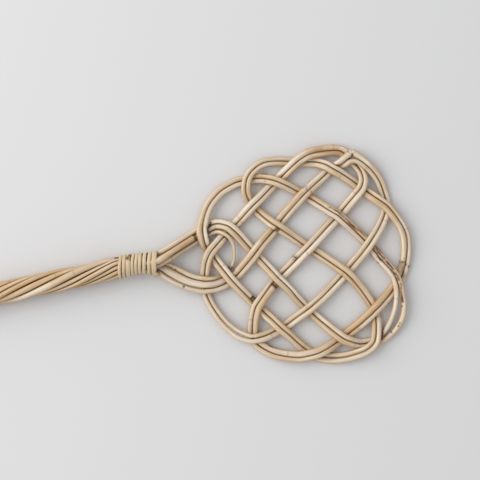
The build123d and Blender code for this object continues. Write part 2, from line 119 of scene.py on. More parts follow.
# The pair's route from the lower neck to the upper neck: a number is a crossing, the rest are bends, with
# the pair's spacing where it opens. The passes go over and under in turn, first over.
ROUTE_PX = [
    (169.2, 276.9), (180, 282.8), (190, 286.7), (199.2, 288.5), 1, (216.2, 287.7), (225.4, 283.8), 2,
    (237.7, 275), (251.5, 258.3), 3, (262.3, 243.8), (273.5, 231), 4, (281.5, 220), (290, 210), 5,
    (309.6, 189.2), (319.6, 180), (327.3, 173), 6, (338, 165.5), 7, (355.8, 158.2), (363, 163), (370, 168.8),
    (375.9, 175.6), (380.4, 183), (383.5, 191.5), (385.4, 198), 8, (385.3, 215), (378.6, 228.9), 9,
    (361.2, 254.2), (350.4, 267), 10, (342, 276.5), (329.6, 289.6), (322, 297.3), 11, (295, 318.5),
    (287, 325), 12, (275.2, 331.4), (266.8, 335.2), (259.1, 337.4), 13, (246, 337.2, 6.6),
    (239.2, 334.6, 6.8), (231.5, 329.5, 6), (223, 321.5, 5.5), (215.4, 311.5), (210.8, 304), (207.3, 297), 1,
    (204.6, 275.8), (205, 270.4), (205.8, 264.2), (207.3, 258), 14, (213, 249.2), (217, 244.6), (223.8, 237),
    15, (236.9, 223.5), (247.7, 211.5), 16, (259.2, 200), (272.3, 186.2), 17, (281.5, 176.5), (290, 168.5),
    18, (301.4, 158.8), (307, 155.4), (313.4, 152.9), (321.4, 151.5), (330.2, 150.5), (338, 150.3),
    (343.2, 151.9), 7, (356, 164.2), (359.8, 168.8), (362.2, 174), (363.2, 180), 19, (357.3, 192.7),
    (352, 198.5), (342, 210.4), 20, (334.2, 220), (329.6, 224.6), (319.6, 235.4), 21, (299.6, 256.2),
    (288.5, 268), 22, (273, 282.5), (264.2, 294.4), 23, (254.1, 311.4), (252.7, 320), (252, 331), 13,
    (258.5, 345.5), (262.3, 348), (270, 352.3), (278.5, 355), (290, 356.8), (299.6, 357.3), 24, (320, 352.2),
    (330.1, 346.8), (337.7, 341.8), 25, (348.8, 333.5), (359.5, 325), (371.2, 314.2), 26, (379.6, 305.8),
    (389.6, 295), 27, (402.7, 276), (405.5, 264), (406.8, 255), (407.1, 245), (406.5, 237), (403.8, 228.8),
    (398.5, 220.3), (392, 211.5), 8, (384.2, 203.8), (375, 197.5), (366.5, 191.5), 19, (350.4, 179.5),
    (340.4, 173), 6, (325.8, 164.6), (318, 162.3), (310.8, 161.5), 18, (280, 160.8), (271.5, 161.2),
    (265.4, 162.3), (259.2, 165), (254.6, 168.5), (250.8, 172.3), (248, 176.5), 28, (245.7, 186),
    (245.5, 190), (246.5, 195.4), (248.5, 200.8), 16, (257.2, 211.9), (270.5, 223), 4, (290, 235.6),
    (297.7, 240.8), (304.6, 245.8), 21, (320.1, 255.5), (334.7, 265.2), 10, (353.5, 281), (360.4, 289.2),
    (365.8, 296.5), (370.8, 303.5), 26, (376, 318.8), (376.2, 326.5), (375.8, 334.2), 29, (369.5, 347.5),
    (362.7, 351.8), (352.7, 355), (341.2, 357.2), (329.6, 357.6), (322, 356.5), 24, (304.6, 348.8),
    (297.7, 342.7), (290, 335.3), 12, (271.5, 318.8), (261.5, 310.2), 23, (250.8, 299.6), (239.2, 288), 2,
    (220.8, 266.5), (215.4, 259.6), 14, (206, 246), (203.6, 239), 30, (203.5, 223), (205.4, 213.8),
    (208.5, 206.2), (213, 199.2), (220, 191.5), (228.5, 186.2), (236, 182.3), 28, (256, 178.3),
    (263.8, 178.6), (271.5, 180), 17, (290, 187.5), (297.7, 191.5), 5, (309.6, 197.7), (319.6, 204.6),
    (328.8, 210.4), 20, (350.4, 226.9), (356.5, 232.3), (364.2, 240), 9, (373.5, 250), (381.2, 259.6),
    (389.6, 268.8), (395, 276.5), 27, (399.8, 292.7), (400.3, 303.5, 7.5), (398.5, 315, 9), (395, 324, 8.5),
    (389.5, 331.5, 7), (383, 338, 6), 29, (365, 344.4), (358, 343.8), (350.4, 341.4), 25, (333.5, 331.2),
    (325.8, 325), (318, 318.6), 11, (297.7, 298.6), (290.5, 289.5), 22, (267.4, 265.9), 3, (250.8, 248.5),
    (243.8, 240.8), (237.7, 233.8), 15, (227, 225), (220, 223.5), (213, 224.2), 30, (195.6, 233.9),
    (185.6, 240.9), (172.6, 249.3),
]

# Level runs of the slanted crossings: the run before a pass is first, the run after it second
LEVEL_RUNS_PX = {
    6: (None, 8), 7: (5, 20), 8: (14, 10), 19: (8, 15), 20: (8, 15), 21: (7, None), 27: (None, 16),
    30: (9, 11), 31: (10, 14), 34: (15, 9), 41: (7, 14), 42: (16, None), 46: (None, 4.5),
    47: (11.5, None), 53: (11, 9), 54: (8, 12),
}

# Passes at which a new cane starts on the left and the right of the way, and how far past the crossing
LEFT_SPLICES_PX = [(7, 3.0), (24, 8.0), (60, 6.5)]
RIGHT_SPLICES_PX = [(16, -9.8), (37, 1.5), (44, 8.0)]

# The thin inner loop: each bend has its level, 1 over the pair and -1 under it, except those that climb
# from the neck binding
INNER_LOOP_PX = [
    (169.2, 264.5), (176, 267.8), (184.6, 272.3), (192.3, 276, 1), (199.2, 278.3, 1), (206, 279.3, 1.1),
    (212, 278.8, 0.9), (217, 277.6, -0.1), (221, 275.6, -1.1), (228.5, 270, -1.1), (231.5, 266.5, -0.9),
    (233.6, 261, -0.5), (234.6, 253, 0.1), (233.5, 244, 0.9), (229.5, 237.4, 1.3), (223, 233, 1.3),
    (217.5, 231.6, 0.3), (212.5, 233.3, -0.9), (207.5, 236.2, -1), (199.5, 240.6, -1), (190, 246.4),
    (180, 252.6), (170, 259.1),
]

# The bundle's canes in order round the rod: the angle at the neck in degrees, then in millimetres the
# thickness in the handle, how far the cane stands out there, and its way out of the neck binding, across
# and above
BUNDLE = {
    "upper_right": (32.0, 4.2, -1.0, (7.4, -0.2)),
    "upper_left": (59.4, 4.4, 0.4, (3.9, 3.1)),
    "filler_1": (86.5, 3.8, -0.8, (0.7, 8.2)),
    "loop_end": (113.5, 4.5, 0.2, (-3.6, 4.6)),
    "stub": (148.4, 5.2, 0.3, (-7.6, 3.9)),
    "lower_right": (183.6, 5.0, 0.4, (-9.6, -0.6)),
    "lower_left": (218.4, 5.0, 0.1, (-4.0, -4.3)),
    "loop_start": (251.6, 4.6, 0.5, (2.0, -5.1)),
    "filler_2": (295.0, 5.9, -0.9, None),
    "filler_3": (345.2, 6.7, 0.7, None),
}

# Half the neck binding's outer height along it, and its middle's shift across, in millimetres
NECK_SHAPE = [
    (0, 12.4, 0), (3.8, 12.4, 0.1), (4.4, 11.9, 0.3), (8, 11.4, 0.9), (14, 10.9, 1), (19, 10.5, 1.5),
    (23, 10.3, 1.6), (28, 10.6, 1.3), (34, 11.4, 0.3), (38, 11.9, 0),
]

# The neck binding's turns: both edges of each along it, on the upper side, in millimetres
NECK_TURNS = [
    (0.9, 4.1), (4.5, 7.9), (8.1, 13.1), (13.4, 16.5), (16.8, 20), (20.4, 23.9), (24.8, 28.5), (29.6, 33.2),
    (33.8, 39),
]

# The end binding: its turns, the gap between them and half its outer height, in millimetres
END_TURNS, END_GAP, END_HALF = 8, 0.1, 12.2

# The loose fibre under the neck binding, with its heights over the floor in millimetres
LOOSE_FIBRE_PX = [
    (142, 272, 10), (142.7, 274.3, 9), (144.9, 276.6, 7.5), (143.6, 278.8, 6.5), (141.6, 281, 5.5),
    (140.3, 283, 5),
]

# The long filler on the upper neck: its bends, with the height of each over the floor in millimetres
LONG_FILLER_PX = [(169.5, 253.8, 20.4), (180, 246.9, 17.0), (188, 241.7, 13.6), (193.4, 238.2, 11.2)]

# The stub's last bends, along, across and above the bundle's middle in millimetres
STUB_END = [(33.0, -7.2, 1.5), (36.8, -9.8, 1.8), (37.9, -12.1, 4.2)]

# Diameters of the pair's canes along the route, in millimetres: the place on it, the left and the right
PAIR_CANES = [
    (0, 7.8, 4.6), (24, 7.7, 4.6), (46, 6.4, 5.1), (60, 6.2, 5.1), (72, 5.9, 5.1), (130, 6, 5),
    (142, 6.1, 4.8), (210, 5.7, 4.7), (228, 5.4, 5), (240, 6.6, 5), (252, 6, 4.4), (268, 4.8, 4.4),
    (298, 4.6, 4.6), (310, 5.6, 5), (370, 5.6, 4.8), (470, 5.6, 4.6), (482, 6.2, 4.8), (504, 4.7, 4.2),
    (560, 4.5, 4.2), (580, 4.6, 4.9), (640, 5.6, 4.8), (660, 5.8, 4.7), (745, 5.8, 4.8), (760, 5.9, 5.3),
    (785, 5.6, 5.2), (812, 4.7, 4.6), (834, 6, 4.5), (868, 6.2, 4.8), (940, 6.2, 4.9), (956, 6.6, 4.2),
    (990, 6.2, 4.5), (1030, 6, 5), (1110, 6, 4.9), (1122, 6.1, 4.6), (1190, 6, 4.6), (1225, 5.9, 4.4),
    (1240, 6, 3.8), (1280, 5.9, 3.9), (1310, 5.9, 4.6), (1350, 5.8, 4.4), (1390, 5, 4.3), (1440, 4.8, 4.4),
    (1476, 5.4, 4.6), (1500, 5.8, 4.3), (1620, 6, 4.1), (1660, 5.4, 4.6), (1740, 5.3, 4.7), (1870, 5.4, 4.8),
    (1885, 5.5, 4.7), (1920, 5.1, 5.2), (1965, 5, 5.4), (1985, 4.9, 4.9), (2110, 5.3, 4.8), (2165, 4.9, 4.9),
    (2186, 5.6, 5), (2216, 5.5, 5), (2245, 5.3, 5.1), (2310, 5.2, 5), (2322, 5, 4.3), (2385, 6, 4.3),
    (2400, 5.5, 4.9), (2440, 5.2, 5), (2470, 5, 5.9), (2500, 5, 6.2),
]

# Ends of two canes that leave the pair's way at the top corner: bends and diameters in millimetres
CORNER_ENDS_PX = {
    ("cane_left_1", "last"): [(336.9, 163.8, 5.2), (343.8, 158.2, 6.2), (351.2, 152.2, 6.8)],
    ("cane_left_2", "first"): [(351.5, 151.9, 6.6), (357.3, 155.4, 6.4), (363.6, 159.6, 5.8)],
}

# Small shifts of one cane: its name, the place on it, the shift and how far along it reaches
SHIFTS_PX = [
    ("cane_left_1", 176, 276, 0.15, -0.3, 12), ("cane_left_1", 205, 286.4, 0, -0.6, 16),
    ("cane_inner_loop", 203, 279, 0, -0.7, 10), ("cane_left_3", 330, 360.2, 0, 1, 22),
    ("cane_right_1", 344, 162, 0.4, 0.8, 8), ("cane_right_1", 347.5, 160, 0.2, 0.7, 7),
    ("cane_right_4", 393, 318, -1.2, 0.2, 12), ("cane_right_4", 397, 292, -0.8, 0, 10),
    ("cane_right_4", 396.5, 303, -0.4, 0, 8), ("cane_left_3", 404, 296, -0.8, 0, 10),
    ("cane_left_3", 200, 233, -0.8, 0, 10),
]

# Where a cane is thicker or thinner than its table says: its name, the place, the diameter and the reach
WIDTHS_PX = [
    ("filler_cane_1", 184, 245, 5.3, 34), ("filler_cane_1", 160, 260, 6.6, 14),
    ("cane_inner_loop", 190, 275, 5.1, 20), ("cane_inner_loop", 180, 254, 5.6, 20),
    ("cane_left_1", 174, 275, 8.2, 16), ("cane_right_4", 170, 249, 6.1, 18),
    ("cane_inner_loop", 234, 255, 3.3, 14), ("cane_right_4", 396, 297, 5.1, 12),
    ("cane_left_3", 200, 233, 6.3, 9), ("cane_left_2", 209, 251, 5.8, 9),
]

# Four tables of lines on the canes: from, to, half width and strength. Rests of the vine's skin come first
SKIN_PX = [
    (328.5, 207, 340.5, 213.5, 0.6, 1.2), (339, 214, 343, 217.5, 1.5, 0.6), (345, 219.5, 357, 230, 0.9, 1.4),
    (350, 224.5, 357.2, 229.8, 0.6, 1.6), (358, 229, 365, 236.5, 0.6, 0.9), (374.5, 247, 380, 253, 1.6, 0.9),
    (377.7, 252.1, 383.7, 258.2, 0.9, 1.3), (386, 261.5, 393, 269.9, 0.9, 1.3),
    (380, 255, 388, 264, 1.2, 0.5), (391, 268, 398.5, 280, 1, 1.1), (399.6, 283.4, 401.9, 302, 0.8, 1.3),
    (401, 262, 403.5, 276, 1.8, 0.6), (377, 257, 383, 261, 1.2, 0.7), (299, 184, 306, 187, 0.7, 0.7),
    (116.5, 257.4, 119.8, 256.8, 1.3, 1.3), (230, 267, 233, 270, 1.6, 0.8), (314, 150, 322, 148, 1.2, 0.35),
    (181, 264.5, 186, 268, 0.6, 0.7), (262, 173.2, 268, 173.8, 0.9, 1), (266, 345.5, 286, 349.5, 0.6, 0.9),
    (302, 187, 312, 192.5, 0.5, 0.8), (382.8, 325, 381.8, 338.5, 1.1, 1.4),
    (207.3, 226.5, 208.3, 238, 0.6, 1),
]

# Painted shade: dark lines in the seams between canes that lie open a little
SEAM_SHADE_PX = [
    (157, 257.4, 169.5, 250.1, 0.5, 0.7), (169.5, 250.1, 180, 243, 0.5, 0.7),
    (180, 243, 194.5, 233.8, 0.5, 0.8), (224.5, 236.3, 228.3, 240.3, 0.5, 0.7),
    (228.3, 240.3, 226, 242.6, 0.5, 0.6),
]

# Canes and lengths that aged to a warmer brown
WARM_PX = [
    (311, 150, 343, 151.5, 5.5, 1), (316, 151.5, 340, 152.5, 2.2, 1.6), (255, 176, 300, 184, 5, 0.35),
    (345, 334, 392, 288, 3.5, 0.8), (10, 288, 60, 275, 5, 0.6), (165, 265, 182, 272, 3, 0.6),
    (372, 165, 392, 195, 2.5, 0.8), (295, 215, 335, 175, 3, 0.45), (240, 268, 258, 250, 3, 0.6),
    (330, 325, 345, 340, 3, 0.4), (262, 240, 272, 229, 2.5, 0.8), (166, 255, 196, 236, 3.5, 0.6),
    (204, 262, 206, 285, 3, 0.5), (281, 213, 300, 193, 3, 0.7), (208, 250, 215, 245, 3, 0.5),
    (352, 336, 358, 330, 4, 0.6),
]

# Lengths that are paler: some were sanded or rubbed paler, and some thin ones are painted highlights along a
# cane's edge
PALE_AND_HIGHLIGHT_PX = [
    (378.5, 317, 379.5, 335, 2.2, 0.9), (379.5, 335, 372, 350, 2.4, 0.9), (372, 350, 350, 358, 2.4, 0.8),
    (403, 300, 404, 312, 2, 0.6), (404, 312, 398, 327, 2, 0.7), (398, 327, 385, 341, 2, 0.7),
    (377.5, 254, 389, 267, 0.7, 1), (389, 267, 397.5, 279, 0.7, 1), (397.5, 279, 400, 290, 0.7, 1),
    (185, 284, 220, 285, 3.5, 0.8), (400, 225, 401, 262, 3.5, 0.7), (345, 190, 362, 205, 4, 0.7),
    (20, 302, 50, 285, 4, 0.6), (235, 333, 262, 341, 4, 0.6), (268, 345, 345, 362, 4, 0.6),
    (355, 345, 372, 353, 4, 0.5), (335, 163, 352, 154, 3, 0.6), (392, 300, 397, 325, 3, 0.7),
    (210, 222, 236, 226, 3, 0.5), (300, 160, 330, 168, 3, 0.5), (160, 276, 200, 290, 2, 0.6),
    (341.5, 148, 347, 151, 2, 1),
]

# Small dark spots, some of them stains and some painted shade at cane ends and in hollows: place and radius
SPOTS_PX = [
    (131.7, 254.6, 0.9), (131.8, 256.4, 0.9), (131.8, 258.2, 0.9), (131.7, 260.4, 0.8), (129, 257.8, 2.6),
    (130.6, 255.3, 1.8), (131.8, 259.5, 0.9), (262.5, 173.3, 0.9), (265, 173.6, 1), (267, 174, 0.8),
    (337.5, 165.2, 1.2), (351, 156.5, 1), (210, 225, 2.4), (211, 222.8, 1.4), (208.6, 227.4, 1.3),
    (380, 260, 1.2), (391.2, 332.2, 1.3), (398.2, 325.8, 1.4), (399.5, 322.9, 1.2), (401.6, 306, 1.1),
    (175.5, 269.4, 1.3), (157.9, 270.8, 1.4), (194.9, 235.8, 1.5), (195.5, 237.9, 1.8), (196, 239.8, 1.3),
    (184.2, 286.3, 1.5), (253, 338, 1.2), (275, 230, 1.2), (348, 152, 0.9), (291, 255.5, 1.2),
    (295.5, 260, 1.1), (377.7, 262.4, 1.1), (379.4, 259.2, 1.3), (381.6, 259.6, 1.1), (409.2, 267, 1.3),
    (406.1, 263.8, 1.1), (404, 258, 0.9), (208.2, 231.5, 1),
]

# Joints of the vine that show as dark, rough rings, with their reach along the cane
SCARS_PX = [
    (293, 257.5, 2.6), (297, 258.5, 2), (404.6, 262.5, 1.1), (408, 265.5, 1.2), (229.5, 268.5, 1.6),
    (276.5, 230.3, 1),
]

# Places where the creases get no painted shade or dust: the place and its reach
UNSHADED_PX = [(351.6, 149.6, 4.8)]


def metres(name, default, description):
    return bpy.props.FloatProperty(name=name, description=description, default=default, unit="LENGTH")


def srgb(name, default, description):
    return bpy.props.StringProperty(name=name, description=description + ", as sRGB hex", default=default)


class BeaterSizes(bpy.types.PropertyGroup):
    cane: metres("Cane", 0.0050, "Diameter of the round canes")
    fine_cane: metres("Fine cane", 0.0038, "Diameter of the small inner loop")
    pair_gap: metres("Pair gap", 0.0002, "Between the two canes of a pair")
    rise: metres("Rise", 0.0029, "From the weave's middle plane to a cane that goes over")
    lay: metres("Lay length", 0.200, "One full turn of the handle's canes")
    peel_thickness: metres("Peel thickness", 0.0012, "Thickness of the split peel")


class BeaterColours(bpy.types.PropertyGroup):
    pale: srgb("Pale cane", "EDE6D9", "Sanded rattan core")
    tan: srgb("Tan cane", "CDAD7D", "Rattan core where it has aged")
    # The dark of the creases: painted shade with dust between the canes
    crease: srgb("Crease", "2A180C", "Dust and dark sap between the canes")
    skin: srgb("Skin", "7E4529", "Rests of the vine's skin")
    peel: srgb("Peel", "D8C8AC", "Split outer peel of the bindings")
    floor: srgb("Floor", "DEE0E4", "Painted floor")


def sizes():
    return bpy.context.scene.beater_sizes


def colours():
    return bpy.context.scene.beater_colours


def linear(hex_colour):
    """An sRGB hex colour as linear RGBA."""
    found = []
    for i in (0, 2, 4):
        value = int(hex_colour[i:i + 2], 16) / 255
        found.append(value / 12.92 if value <= 0.04045 else ((value + 0.055) / 1.055) ** 2.4)
    return (*found, 1.0)


def place(x, y):
    """A pixel of the view as X and Y, in metres."""
    across = (x - AXIS_PX[0]) * MM
    up = (AXIS_PX[1] - y) * MM
    cos, sin = math.cos(HANDLE_TILT), math.sin(HANDLE_TILT)
    return NECK_X + across * cos + up * sin, AXIS_Y + up * cos - across * sin


def in_bundle(station, across, above):
    """A point beside the bundle's middle, in metres: the neck binding leans a little."""
    lean = BINDING_LEAN if station > 0 else 0
    return Vector((
        NECK_X + station * math.cos(lean) + across * math.sin(lean),
        AXIS_Y + across * math.cos(lean) - station * math.sin(lean),
        AXIS_HEIGHT + above,
    ))


# Centre lines
class Pair:
    """The plan and the heights of the pair that makes the knot."""

    def __init__(self):
        size = sizes()
        self.cane = size.cane
        self.spacing = size.cane + size.pair_gap
        self.rise = size.rise
        self.middle = size.rise + THICKEST / 2 * MM * size.cane / DRAWN_CANE - SUNK
        self.plan = []
        for stop in ROUTE_PX:
            if isinstance(stop, int):
                self.plan.append((Vector(place(*CROSSINGS_PX[stop])), self.spacing, stop))
            else:
                opened = stop[2] * MM if len(stop) > 2 else self.spacing
                self.plan.append((Vector(place(*stop[:2])), opened, None))
        self.stations = [0.0]
        for a, b in zip(self.plan, self.plan[1:]):
            self.stations.append(self.stations[-1] + (b[0] - a[0]).length)
        self.passes = self.find_passes()

    def heading(self, i):
        return (self.plan[min(i + 1, len(self.plan) - 1)][0] - self.plan[max(i - 1, 0)][0]).normalized()

    def find_passes(self):
        """Each pass: its station, its side (1 over, -1 under) and its level runs before and after."""
        visits = [i for i, stop in enumerate(self.plan) if stop[2]]
        found = []
        for order, i in enumerate(visits, start=1):
            first, second = [j for j in visits if self.plan[j][2] == self.plan[i][2]]
            cosine = abs(self.heading(first).dot(self.heading(second)))
            run = self.spacing / 2 * (1 + cosine) / math.sqrt(1 - cosine * cosine) + LEVEL_SPARE
            given = LEVEL_RUNS_PX.get(order, (None, None))
            before, after = [run if value is None else value * MM for value in given]
            found.append((self.stations[i], 1 if order % 2 else -1, before, after))
        return found

    def level(self, station):
        if station <= self.passes[0][0]:
            return self.passes[0][1] * self.rise
        for (s0, side, _, after), (s1, other, before, _) in zip(self.passes, self.passes[1:]):
            if station <= s1:
                share = (station - s0 - after) / (s1 - before - s0 - after)
                return self.rise * (side + (other - side) * min(max(share, 0), 1))
        return self.passes[-1][1] * self.rise

    def on_plan(self, station):
        """The point of the plan at a station, and the pair's spacing there."""
        i = max(j for j in range(len(self.plan) - 1) if self.stations[j] <= station)
        share = (station - self.stations[i]) / (self.stations[i + 1] - self.stations[i])
        (start, opened, _), (end, closed, _) = self.plan[i], self.plan[i + 1]
        return start + (end - start) * share, opened + (closed - opened) * share

    def diameter(self, station, side):
        """A cane's own diameter along the pair, left (1) or right (-1)."""
        column = 1 if side > 0 else 2
        found = np.interp(station / MM, [row[0] for row in PAIR_CANES], [row[column] for row in PAIR_CANES])
        return float(found) * MM * self.cane / DRAWN_CANE

    def route(self, side):
        """Bends of the left (1) or right (-1) cane, as stations, points and diameters."""
        bends = []
        for station, _, before, after in self.passes:
            bends += [station - before, station, station + after]
        for i, stop in enumerate(self.plan):
            if not stop[2] and all(abs(self.stations[i] - other) > BEND_SPACE for other in bends):
                bends.append(self.stations[i])
        bends.sort()
        middle = [self.on_plan(station) for station in bends]
        found = []
        for i, station in enumerate(bends):
            point, opened = middle[i]
            before = point - middle[i - 1][0] if i else middle[1][0] - point
            after = middle[i + 1][0] - point if i + 1 < len(bends) else before
            ahead = (before.normalized() + after.normalized()).normalized()
            thick = self.diameter(station, side)
            reach = side * (thick + opened - self.cane) / 2 / max(ahead.dot(before.normalized()), 0.5)
            height = self.middle + self.level(station)
            bend = Vector((point.x - ahead.y * reach, point.y + ahead.x * reach, height))
            found.append((station, bend, thick))
        return found


def tail(name):
    """A bundle cane's bends from the butt end, round the rod, to its way out of the neck binding."""
    angle, thickness, proud, way_out = BUNDLE[name]
    angle = math.radians(angle)
    count = round(HANDLE / BUNDLE_STEP)
    points = []
    for i in range(count + 1):
        station = -HANDLE + HANDLE * i / count
        turn = angle - 2 * math.pi * station / sizes().lay
        # The bindings at both ends press the canes that stand out back into the round
        free = min(-station / (12 * MM), (HANDLE + station) / (60 * MM), 1)
        radius = (BUNDLE_RADIUS - thickness / 2 + proud * free) * MM
        points.append(in_bundle(station, radius * math.cos(turn), radius * math.sin(turn)))
    radius = HELD_RADIUS * MM - thickness * MM / 2
    beside, over = radius * math.cos(angle), radius * math.sin(angle)
    points.append(in_bundle(4 * MM, beside, over))
    for station, held, out_across, out_above, aside in NECK_WAY if way_out else ():
        across = beside * held + way_out[0] * MM * out_across + aside * MM
        points.append(in_bundle(station * MM, across, over * held + way_out[1] * MM * out_above))
    return points


def eased(start_height, route, level_station):
    """A route whose height eases from the neck binding's to its own by the given station."""
    first = route[0][0]
    found = []
    for station, point, thick in route:
        share = min((station - first + EASE_LEAD) / (level_station - first + EASE_LEAD), 1)
        height = start_height + (point.z - start_height) * share
        found.append((station, Vector((point.x, point.y, height)), thick))
    return found


def cut_out(route, start, end):
    """The bends of a route between two stations, with an end point at each, and their diameters."""
    def at(station):
        for (s0, p0, d0), (s1, p1, d1) in zip(route, route[1:]):
            if s0 <= station <= s1:
                share = (station - s0) / (s1 - s0)
                return p0 + (p1 - p0) * share, d0 + (d1 - d0) * share
        return route[0][1:] if station < route[0][0] else route[-1][1:]
    inside = [(p, d) for s, p, d in route if start + BEND_SPACE / 2 < s < end - BEND_SPACE / 2]
    return [at(start)] + inside + [at(end)]


def bent_to_corner(pair, name, bends):
    """The cane's bends, with the ones near its end at the top corner put where they are seen."""
    for (owner, which), ends in CORNER_ENDS_PX.items():
        if owner == name:
            given = [(Vector((*place(x, y), pair.middle + pair.rise)), thick * MM) for x, y, thick in ends]
            end = -1 if which == "last" else 0
            tip, inner = given[end][0], given[-1 - end][0]
            reach = (tip - inner).length + 3 * MM
            bends = list(bends)
            while (bends[end][0].xy - tip.xy).length < reach:
                bends.pop(end)
            bends = bends + given if which == "last" else given + bends
    return bends


def pair_canes(pair, word, side, splices, first_tail, last_tail):
    """The canes of one side of the pair, as names and bends; the first and the last have a tail."""
    route = pair.route(side)
    first_points, last_points = tail(first_tail), tail(last_tail)
    lead = eased(first_points[-1].z, route, pair.passes[0][0] - pair.passes[0][2])
    back = [(-s, p, d) for s, p, d in reversed(route)]
    back = eased(last_points[-1].z, back, -(pair.passes[-1][0] + pair.passes[-1][3]))
    final = [(-s, p, d) for s, p, d in reversed(back)]
    middle = (pair.passes[0][0] + pair.passes[-1][0]) / 2
    route = [bend for bend in lead if bend[0] < middle] + [bend for bend in final if bend[0] >= middle]
    cuts = [pair.passes[order - 1][0] + shift * MM for order, shift in splices]
    starts = [route[0][0]] + [cut + SPLICE_GAP for cut in cuts]
    ends = [cut - SPLICE_GAP for cut in cuts] + [route[-1][0]]
    found = {}
    for number, (start, end) in enumerate(zip(starts, ends), start=1):
        name = f"cane_{word}_{number}"
        bends = bent_to_corner(pair, name, cut_out(route, start, end))
        if number == 1:
            bends = [(point, BUNDLE[first_tail][1] * MM) for point in first_points] + bends
        if number == len(starts):
            bends += [(point, BUNDLE[last_tail][1] * MM) for point in reversed(last_points)]
        found[name] = bends
    return found


def loop_points(pair):
    """The thin inner loop, with both its ends in the handle."""
    loop = [Vector((*place(x, y), pair.middle + pair.rise * sum(level))) for x, y, *level in INNER_LOOP_PX]
    start, end = tail("loop_start"), tail("loop_end")
    first, second = start[-1].z, loop[3].z
    last, before = end[-1].z, loop[-4].z
    for i in range(3):      # the bends without a level
        loop[i].z = first + (second - first) * (i + 1) / 4
        loop[-1 - i].z = last + (before - last) * (i + 1) / 4
    thick = [BUNDLE["loop_start"][1] * MM] * len(start) + [sizes().fine_cane] * len(loop)
    thick += [BUNDLE["loop_end"][1] * MM] * len(end)
    return list(zip(start + loop + end[::-1], thick))


def spline_mesh(points, radius=0.0):
    """The NURBS spline with the given control points as a mesh: a bare line, or a round strand."""
    curve = bpy.data.curves.new("route", "CURVE")
    curve.dimensions = "3D"
    curve.bevel_depth = radius
    curve.bevel_resolution = 2
    curve.use_fill_caps = bool(radius)
    spline = curve.splines.new("NURBS")
    spline.points.add(len(points) - 1)
    for control, point in zip(spline.points, points):
        control.co = (*point, 1)
    spline.order_u = 3
    spline.use_endpoint_u = True
    holder = bpy.data.objects.new("route", curve)
    bpy.context.scene.collection.objects.link(holder)
    mesh = bpy.data.meshes.new_from_object(holder)
    bpy.data.objects.remove(holder)
    bpy.data.curves.remove(curve)
    return mesh


def along_spline(points):
    """Close points along the spline that has the given ones as its control points."""
    mesh = spline_mesh(points)
    line = np.array([v.co for v in mesh.vertices], float)
    bpy.data.meshes.remove(mesh)
    return line


def read_spline(bends):
    """Evenly spaced points along a cane's spline, their runs and the diameters there."""
    line = along_spline([point for point, _ in bends])
    thick = along_spline([(diameter, i, 0) for i, (_, diameter) in enumerate(bends)])[:, 0]
    keep = np.r_[True, np.linalg.norm(np.diff(line, axis=0), axis=1) > 1e-7]
    line, thick = line[keep], thick[keep]
    run = np.r_[0, np.cumsum(np.linalg.norm(np.diff(line, axis=0), axis=1))]
    at = np.linspace(0, run[-1], max(int(run[-1] / RING_STEP), 4) + 1)
    even = np.stack([np.interp(at, run, line[:, k]) for k in range(3)], axis=1)
    return even, at, np.interp(at, run, thick)


def frames_along(line):
    """The heading at each of the line's points and two directions across it, carried on without twist."""
    ahead = np.gradient(line, axis=0)
    ahead /= np.linalg.norm(ahead, axis=1)[:, None]
    side = np.cross(ahead[0], (0, 0, 1))
    side /= np.linalg.norm(side)
    sides = []
    for direction in ahead:
        side = side - direction * side.dot(direction)
        side /= np.linalg.norm(side)
        sides.append(side)
    sides = np.array(sides)
    return ahead, sides, np.cross(ahead, sides)


def waves(at, seed, length):
    """A smooth random line between about -1 and 1 that wanders over the given length."""
    rng = np.random.default_rng(seed)
    parts = 4
    total = np.zeros_like(at)
    for _ in range(parts):
        total += np.sin(at / length * 2 * math.pi * rng.uniform(0.5, 1.5) + rng.uniform(0, 2 * math.pi))
    return total / parts


def growth_rings(total, seed):
    """Runs at which the vine had its joints, 110 to 190 mm apart."""
    rng = np.random.default_rng(seed + 50)
    at, found = rng.uniform(20, 120) * MM, []
    while at < total:
        found.append(at)
        at += rng.uniform(110, 190) * MM
    return found


def nearest(line, x, y):
    """The number of the line's point nearest to a pixel, and how far away it is."""
    away = np.linalg.norm(line[:, :2] - np.array(place(x, y)), axis=1)
    return np.argmin(away), away.min()


def bell(at, middle, reach, power=2):
    """1 at the middle, and next to nothing past twice the reach, which is in millimetres."""
    return np.exp(-((at - middle) / (reach * MM)) ** power)


AROUND = [(k, (k + 1) % SIDES) for k in range(SIDES)]
LINES = {}          # each cane's centre line, its run, its radius and its seed
NEIGHBOURS = []     # a search tree of all the lines' points, with their places, headings, owners and radii


def settle_line(name, bends):
    """Settles a cane's centre line and thickness along it, and keeps them under the cane's name."""
    line, at, thick = read_spline(bends)
    seed = sum(ord(c) * (i + 3) for i, c in enumerate(name))
    radius = thick / 2 * (1 + THICK_WANDER * waves(at, seed, THICK_RUN))
    in_head = line[:, 0] > NECK_X + 50 * MM
    wobble = LINE_WANDER * waves(at, seed + 7, LINE_RUN)
    line = line + frames_along(line)[1] * (wobble * in_head)[:, None]
    for owner, x, y, dx, dy, reach in SHIFTS_PX:
        if owner == name:
            near, _ = nearest(line, x, y)
            moved = np.array(place(x + dx, y + dy)) - np.array(place(x, y))
            line[:, :2] += bell(at, at[near], reach)[:, None] * moved
    for owner, x, y, thickness, reach in WIDTHS_PX:
        if owner == name:
            near, _ = nearest(line, x, y)
            radius = radius + (thickness * MM / 2 - radius) * bell(at, at[near], reach, 4)
    LINES[name] = (line, at, radius, seed)


